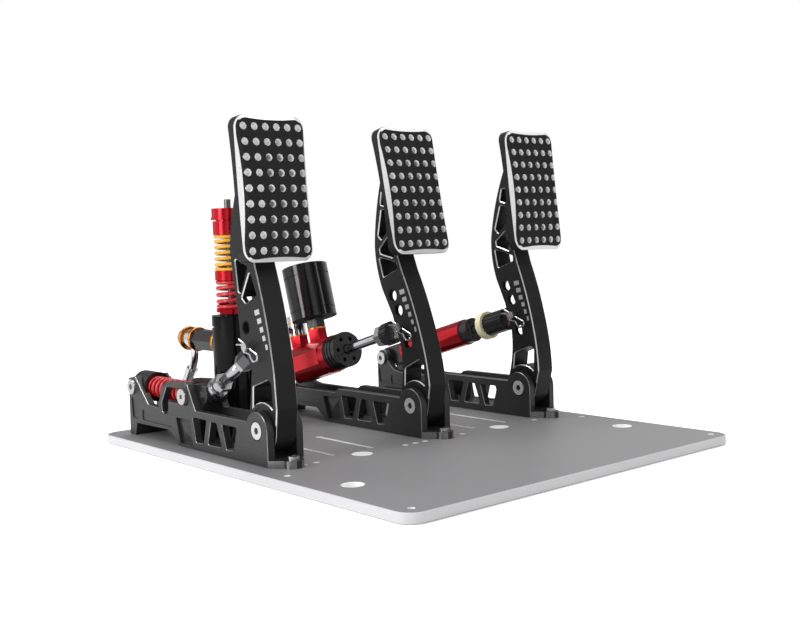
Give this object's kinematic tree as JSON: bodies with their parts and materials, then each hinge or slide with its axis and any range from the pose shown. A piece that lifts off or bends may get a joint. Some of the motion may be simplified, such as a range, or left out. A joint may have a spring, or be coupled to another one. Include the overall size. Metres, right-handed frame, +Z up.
{
  "type": "sim racing pedal set",
  "caption": "Clutch, brake and throttle pedals for a racing simulator on one base plate, with sprung clutch linkage, hydraulic brake and damped throttle.",
  "frame": {"origin": "bottom centre of the base plate", "axes": "X to the driver's right, Y away from the driver, Z up"},
  "size_m": [0.362, 0.436, 0.277],
  "materials": {
    "plate_aluminium": "anodised mid grey, bare bright edges",
    "black_aluminium": "black anodised, brushed, with bare bevels",
    "red_aluminium": "red anodised, satin",
    "red_paint": "red powder coat",
    "yellow_paint": "yellow powder coat",
    "zinc_steel": "bright zinc plated",
    "chrome_rod": "ground and polished",
    "black_knob": "black, satin",
    "copper": "gold-coloured copper sealing washers",
    "bumper_rubber": "cream, slightly translucent polyurethane",
    "braided_hose": "braided steel wire over a hose"
  },
  "bodies": {
    "base": {"base_plate": "plate_aluminium", "clutch_base": "black_aluminium", "brake_base": "black_aluminium", "throttle_base": "black_aluminium", "pivot_bolts": "zinc_steel", "pivot_nuts": "zinc_steel", "rear_bolts": "zinc_steel", "rear_nuts": "zinc_steel", "foot_screws": "zinc_steel", "floor_screws": "zinc_steel", "brake_cylinder": "red_aluminium", "brake_cylinder_cap": "red_aluminium", "port_washers": "copper", "reservoir_neck": "zinc_steel", "reservoir": "black_knob", "reservoir_cap": "black_knob", "brake_banjo": "zinc_steel", "brake_banjo_bolt": "zinc_steel", "throttle_damper": "red_aluminium", "throttle_damper_cap": "red_aluminium", "clutch_spring_cup": "red_aluminium", "clutch_spring": "red_paint", "slave_cylinder": "red_aluminium", "slave_rod": "chrome_rod", "slave_spring_lower": "red_paint", "slave_spacer": "red_aluminium", "slave_spring_upper": "yellow_paint", "slave_spring_cap": "red_aluminium", "slave_washers": "copper", "pressure_block": "zinc_steel", "slave_banjo": "zinc_steel", "slave_banjo_bolt": "zinc_steel", "brake_hose": "braided_hose"},
    "clutch_pedal": {"clutch_arm": "black_aluminium", "clutch_pad": "black_aluminium", "clutch_pin": "zinc_steel", "clutch_clip": "zinc_steel"},
    "brake_pedal": {"brake_arm": "black_aluminium", "brake_pad": "black_aluminium", "brake_pin": "zinc_steel", "brake_clip": "zinc_steel"},
    "throttle_pedal": {"throttle_arm": "black_aluminium", "throttle_pad": "black_aluminium", "throttle_pin": "zinc_steel", "throttle_clip": "zinc_steel"},
    "brake_rod": {"brake_clevis": "zinc_steel", "brake_collar": "black_knob", "brake_lock_nut": "zinc_steel", "brake_push_rod": "chrome_rod"},
    "throttle_rod": {"throttle_clevis": "zinc_steel", "throttle_knob": "black_knob", "throttle_bumper": "bumper_rubber", "throttle_push_rod": "chrome_rod"},
    "clutch_link": {"clutch_clevis": "zinc_steel", "clutch_push_rod": "chrome_rod", "clutch_lock_nut": "zinc_steel", "clutch_rod_end": "zinc_steel"},
    "slider": {"clutch_slider": "zinc_steel", "clutch_link_pin": "zinc_steel", "clutch_stop_pin": "zinc_steel"}
  },
  "joints": [
    {"name": "clutch_press", "type": "hinge", "parent": "base", "child": "clutch_pedal", "pos_m": [-0.1462, -0.018, 0.0354], "axis": [-1, 0, 0], "range_deg": [0, 16], "stiffness_Nm_per_rad": 4},
    {"name": "brake_press", "type": "hinge", "parent": "base", "child": "brake_pedal", "pos_m": [0.0119, -0.018, 0.0354], "axis": [-1, 0, 0], "range_deg": [0, 10], "stiffness_Nm_per_rad": 12},
    {"name": "throttle_press", "type": "hinge", "parent": "base", "child": "throttle_pedal", "pos_m": [0.14885, -0.018, 0.0354], "axis": [-1, 0, 0], "range_deg": [0, 13], "stiffness_Nm_per_rad": 2},
    {"name": "brake_rod_pin", "type": "hinge", "parent": "brake_pedal", "child": "brake_rod", "pos_m": [0.0119, -0.0043, 0.10345], "axis": [-1, 0, 0], "range_deg": [-10, 0]},
    {"name": "throttle_rod_pin", "type": "hinge", "parent": "throttle_pedal", "child": "throttle_rod", "pos_m": [0.14885, -0.00985, 0.10434], "axis": [-1, 0, 0], "range_deg": [-13, 0]},
    {"name": "clutch_link_pin", "type": "hinge", "parent": "clutch_pedal", "child": "clutch_link", "pos_m": [-0.1462, -0.005, 0.10024], "axis": [-1, 0, 0], "range_deg": [-20.1, 0]},
    {"name": "slider_slide", "type": "slide", "parent": "base", "child": "slider", "axis": [0, 1, 0], "range_m": [0, 0.0206], "deforming": ["clutch_spring"]}
  ],
  "couplings": [
    {"joint": "brake_rod_pin", "follows": "brake_press", "ratio": -1},
    {"joint": "throttle_rod_pin", "follows": "throttle_press", "ratio": -1},
    {"joint": "clutch_link_pin", "follows": "clutch_press", "ratio": -1.2504},
    {"joint": "slider_slide", "follows": "clutch_press", "m_per_rad": 0.07368}
  ]
}
